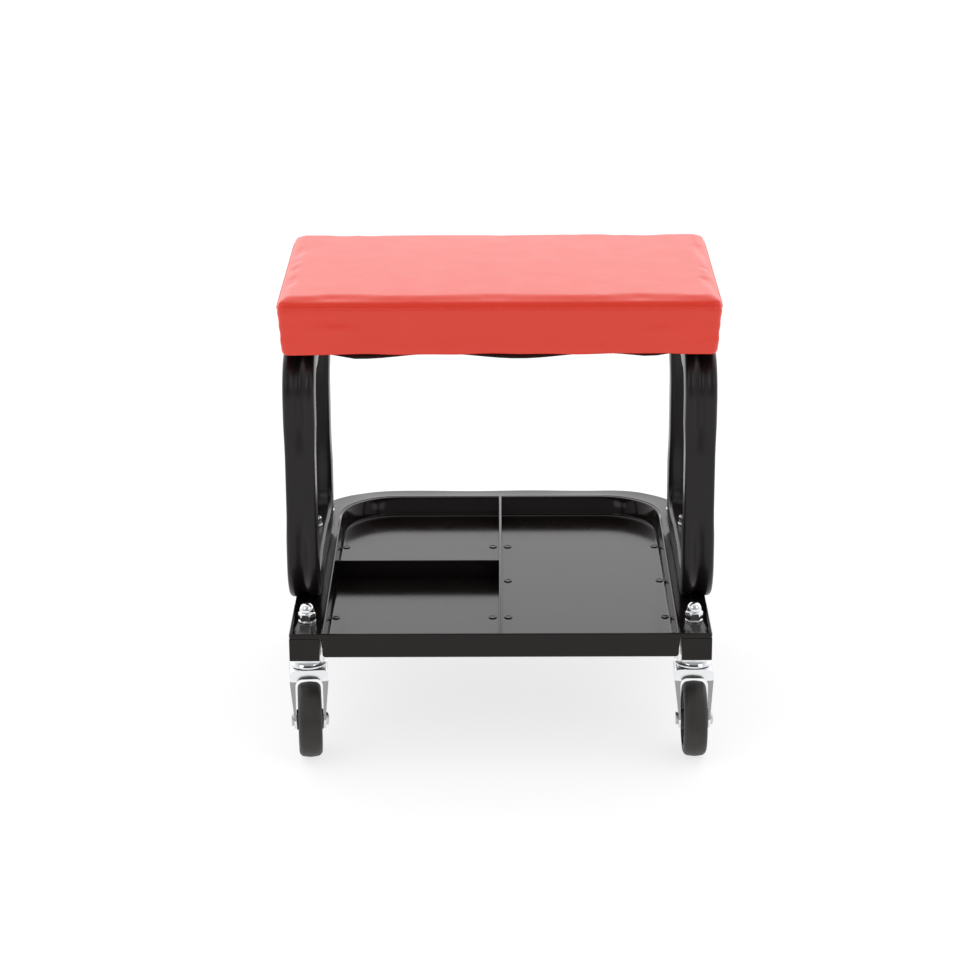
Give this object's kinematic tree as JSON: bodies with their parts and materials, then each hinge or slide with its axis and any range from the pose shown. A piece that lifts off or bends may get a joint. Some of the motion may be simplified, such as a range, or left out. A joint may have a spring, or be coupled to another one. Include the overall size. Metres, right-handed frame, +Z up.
{
  "type": "mechanics creeper seat",
  "caption": "Low rolling work seat with a padded red top on two square-tube hoops, a divided tool tray between side rails and swivel stem casters.",
  "frame": {"origin": "on the floor, under the middle of the whole object", "axes": "+X to the right seen from the front, +Y to the back, +Z up"},
  "size_m": [0.368, 0.3902, 0.381],
  "materials": {
    "red_vinyl": "glossy grained vinyl",
    "foam": "open-cell foam",
    "plywood": "raw plywood",
    "dust_cloth": "non-woven cloth",
    "zinc": "zinc plated",
    "bright_plate": "bright plated",
    "black_paint": "semi-gloss black",
    "black_plastic": "satin moulded",
    "wheel_plastic": "moulded",
    "tyre_rubber": "smooth"
  },
  "bodies": {
    "seat_and_base": {"seat_cover": "red_vinyl", "seat_foam": "foam", "seat_board": "plywood", "dust_cover": "dust_cloth", "staples": "zinc", "tee_nuts": "zinc", "seat_bolts": "zinc", "seat_washers": "zinc", "left_hoop": "black_paint", "right_hoop": "black_paint", "foot_bolts": "zinc", "foot_nuts": "zinc", "foot_washers": "zinc", "left_rail": "black_paint", "right_rail": "black_paint", "rail_plugs": "black_plastic", "tool_tray": "black_plastic", "stem_washers": "bright_plate", "cap_nuts": "bright_plate", "caster_stems": "zinc", "bearing_caps": "bright_plate", "swivel_balls": "bright_plate", "stem_retainers": "zinc"},
    "front_left_swivel": {"front_left_fork": "bright_plate", "front_left_axle_bolt": "zinc", "front_left_axle_nut": "zinc", "front_left_axle_sleeve": "zinc"},
    "front_left_wheel": {"front_left_wheel_core": "wheel_plastic", "front_left_tyre": "tyre_rubber"},
    "front_right_swivel": {"front_right_fork": "bright_plate", "front_right_axle_bolt": "zinc", "front_right_axle_nut": "zinc", "front_right_axle_sleeve": "zinc"},
    "front_right_wheel": {"front_right_wheel_core": "wheel_plastic", "front_right_tyre": "tyre_rubber"},
    "rear_left_swivel": {"rear_left_fork": "bright_plate", "rear_left_axle_bolt": "zinc", "rear_left_axle_nut": "zinc", "rear_left_axle_sleeve": "zinc"},
    "rear_left_wheel": {"rear_left_wheel_core": "wheel_plastic", "rear_left_tyre": "tyre_rubber"},
    "rear_right_swivel": {"rear_right_fork": "bright_plate", "rear_right_axle_bolt": "zinc", "rear_right_axle_nut": "zinc", "rear_right_axle_sleeve": "zinc"},
    "rear_right_wheel": {"rear_right_wheel_core": "wheel_plastic", "rear_right_tyre": "tyre_rubber"}
  },
  "joints": [
    {"name": "front_left_turn", "type": "hinge", "parent": "seat_and_base", "child": "front_left_swivel", "pos_m": [-0.162, -0.14, 0.073], "axis": [0, 0, 1], "continuous": true},
    {"name": "front_left_roll", "type": "hinge", "parent": "front_left_swivel", "child": "front_left_wheel", "pos_m": [-0.16004, -0.16241, 0.03175], "axis": [0.9962, 0.0872, 0], "continuous": true},
    {"name": "front_right_turn", "type": "hinge", "parent": "seat_and_base", "child": "front_right_swivel", "pos_m": [0.162, -0.14, 0.073], "axis": [0, 0, 1], "continuous": true},
    {"name": "front_right_roll", "type": "hinge", "parent": "front_right_swivel", "child": "front_right_wheel", "pos_m": [0.162, -0.1625, 0.03175], "axis": [1, 0, 0], "continuous": true},
    {"name": "rear_left_turn", "type": "hinge", "parent": "seat_and_base", "child": "rear_left_swivel", "pos_m": [-0.162, 0.14, 0.073], "axis": [0, 0, 1], "continuous": true},
    {"name": "rear_left_roll", "type": "hinge", "parent": "rear_left_swivel", "child": "rear_left_wheel", "pos_m": [-0.162, 0.1175, 0.03175], "axis": [1, 0, 0], "continuous": true},
    {"name": "rear_right_turn", "type": "hinge", "parent": "seat_and_base", "child": "rear_right_swivel", "pos_m": [0.162, 0.14, 0.073], "axis": [0, 0, 1], "continuous": true},
    {"name": "rear_right_roll", "type": "hinge", "parent": "rear_right_swivel", "child": "rear_right_wheel", "pos_m": [0.162, 0.1175, 0.03175], "axis": [1, 0, 0], "continuous": true}
  ]
}
